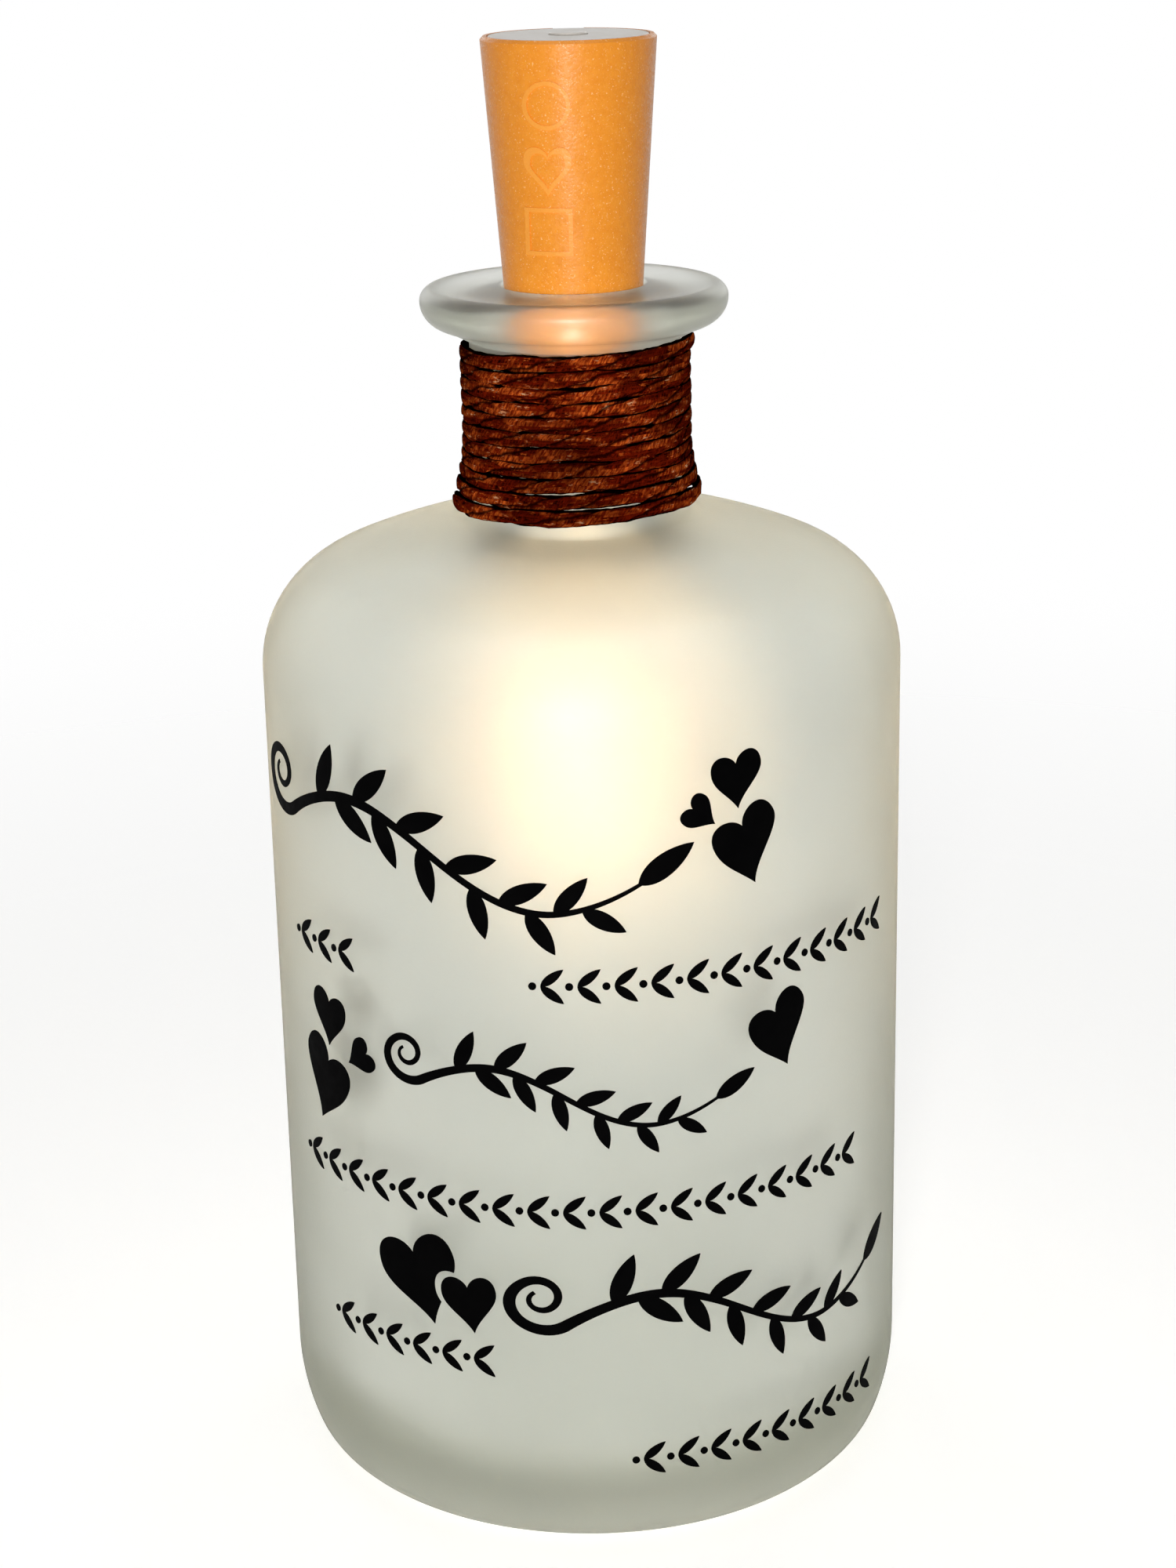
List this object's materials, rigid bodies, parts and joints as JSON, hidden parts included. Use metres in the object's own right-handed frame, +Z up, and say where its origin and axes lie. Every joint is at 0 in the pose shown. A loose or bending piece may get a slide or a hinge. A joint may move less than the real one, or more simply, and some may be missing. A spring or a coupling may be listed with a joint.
{
  "type": "cork bottle light",
  "caption": "Frosted glass apothecary bottle with a waxed cord round its neck and a tapered battery stopper that hangs a coiled string of lamps inside.",
  "frame": {"origin": "centre of the bottle's bearing ring, on the plane it stands on", "axes": "+Z up along the bottle's axis; the decorated front faces -Y; +X to the right of the front view"},
  "size_m": [0.085, 0.0852, 0.1933],
  "materials": {
    "frosted_glass": "satin-etched on the outside",
    "waxed_cord": "waxed, twisted",
    "black_vinyl": "matt cut film",
    "tan_plastic": "satin",
    "pale_plastic": "satin",
    "black_plastic": "matt",
    "black_rubber": "matt",
    "cell_steel": "plated",
    "contact_brass": "bright",
    "board_green": "satin",
    "black_chip": "satin",
    "copper_wire": "enamelled copper",
    "lamp_resin": "clear resin, glowing warm white",
    "chip_yellow": "gloss",
    "spring_steel": "bright"
  },
  "bodies": {
    "bottle": {"bottle": "frosted_glass", "neck_wrap": "waxed_cord", "hearts_top": "black_vinyl", "hearts_left": "black_vinyl", "heart_right": "black_vinyl", "hearts_low": "black_vinyl", "spray_top": "black_vinyl", "spray_middle": "black_vinyl", "spray_bottom": "black_vinyl", "leaf_band_side": "black_vinyl", "leaf_band_upper": "black_vinyl", "leaf_band_middle": "black_vinyl", "leaf_band_lower": "black_vinyl", "leaf_band_base": "black_vinyl"},
    "stopper": {"stopper_shell": "tan_plastic", "cell_lower": "cell_steel", "cell_middle": "cell_steel", "cell_upper": "cell_steel", "bottom_contact": "contact_brass", "side_strip": "contact_brass", "circuit_board": "board_green", "resistor": "black_chip", "lower_plug": "tan_plastic", "wire_gland": "black_rubber", "lead_wires": "copper_wire", "light_wire_drop": "copper_wire", "light_wire_coil": "copper_wire", "light_wire_tail": "copper_wire", "led_drops": "lamp_resin", "led_chips": "chip_yellow"},
    "cap": {"top_cap": "pale_plastic", "contact_carrier": "black_plastic", "cap_contact": "contact_brass", "switch_body": "black_plastic", "button_spring": "spring_steel"},
    "button": {"push_button": "pale_plastic"}
  },
  "joints": [
    {"name": "stopper_lift", "type": "slide", "parent": "bottle", "child": "stopper", "axis": [0, 0, 1], "range_m": [0, 0.095]},
    {"name": "cap_pull", "type": "slide", "parent": "stopper", "child": "cap", "axis": [0, 0, 1], "range_m": [0, 0.03]},
    {"name": "button_press", "type": "slide", "parent": "cap", "child": "button", "axis": [0, 0, -1], "range_m": [0, 0.001], "stiffness_N_per_m": 1500, "springref_m": -0.0003, "deforming": ["button_spring"]}
  ]
}
